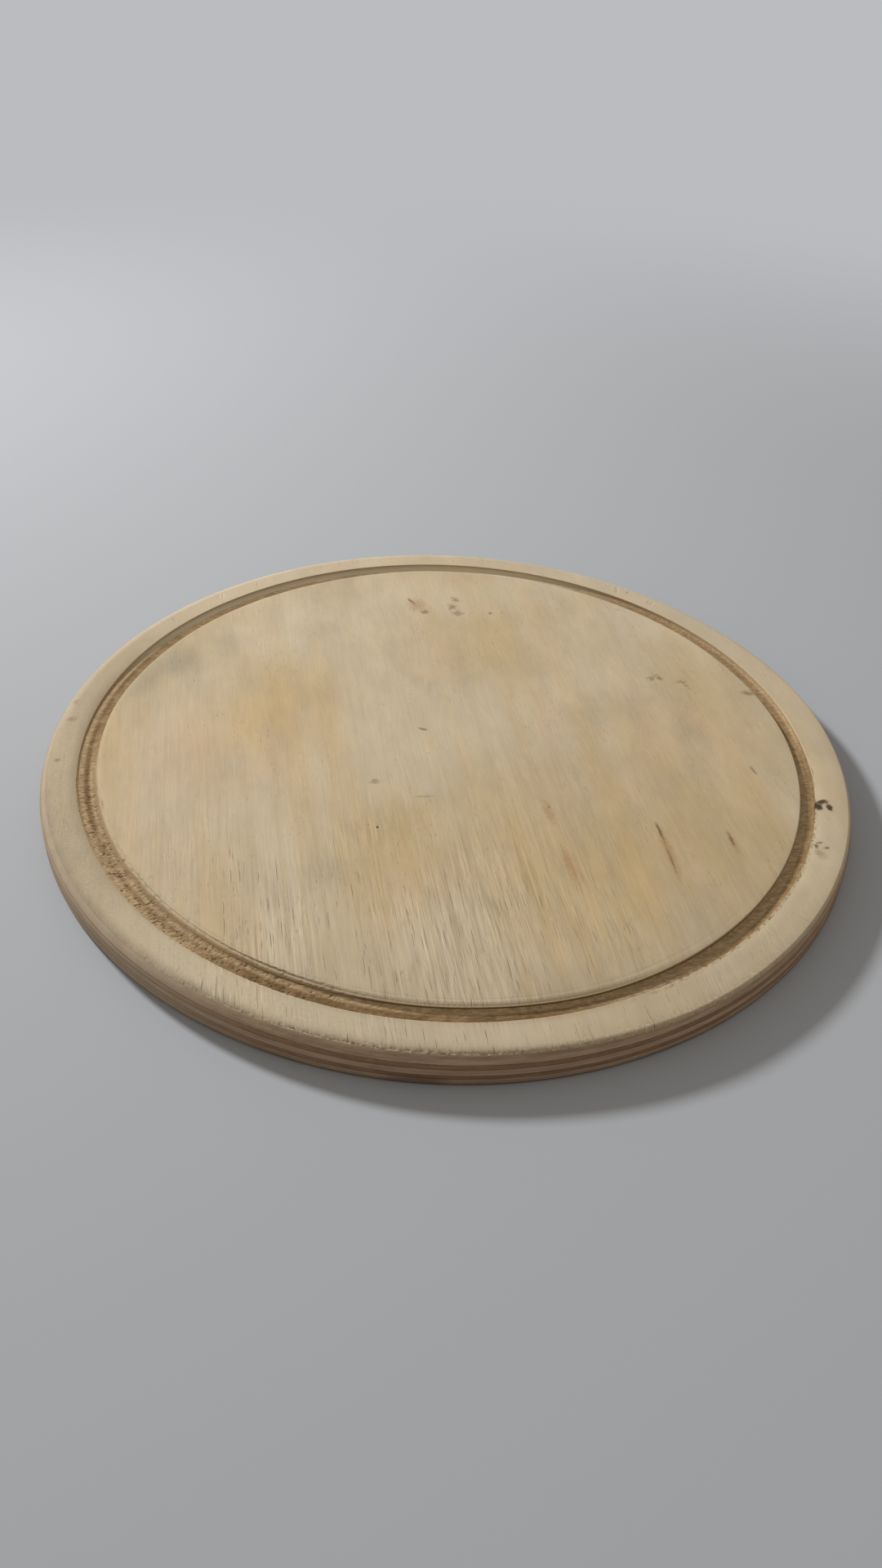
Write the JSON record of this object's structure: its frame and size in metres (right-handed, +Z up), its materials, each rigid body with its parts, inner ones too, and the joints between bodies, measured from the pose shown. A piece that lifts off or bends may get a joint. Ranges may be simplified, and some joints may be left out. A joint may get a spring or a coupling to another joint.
{
  "type": "pizza board",
  "caption": "Round plywood serving board with a round-cornered crumb groove near its rim, a rounded top edge and a flat underside.",
  "frame": {"origin": "centre of the flat underside", "axes": "+Z up through the board's middle, normal to the serving face; the board is round, so X and Y are free"},
  "size_m": [0.3, 0.3, 0.012],
  "materials": {
    "face_veneer": "bare sanded veneer",
    "crossband": "cut and sanded ply edge",
    "longband": "cut and sanded ply edge",
    "back_veneer": "bare sanded veneer",
    "glue": "hardened resin glue line"
  },
  "bodies": {
    "root": {"face_veneer_center": "face_veneer", "face_veneer_rim": "face_veneer", "face_glue_center": "glue", "face_glue_rim": "glue", "upper_crossband": "crossband", "upper_crossband_glue": "glue", "upper_longband": "longband", "upper_core_glue": "glue", "core_ply": "crossband", "lower_core_glue": "glue", "lower_longband": "longband", "lower_crossband_glue": "glue", "lower_crossband": "crossband", "back_glue": "glue", "back_veneer": "back_veneer"}
  },
  "joints": []
}
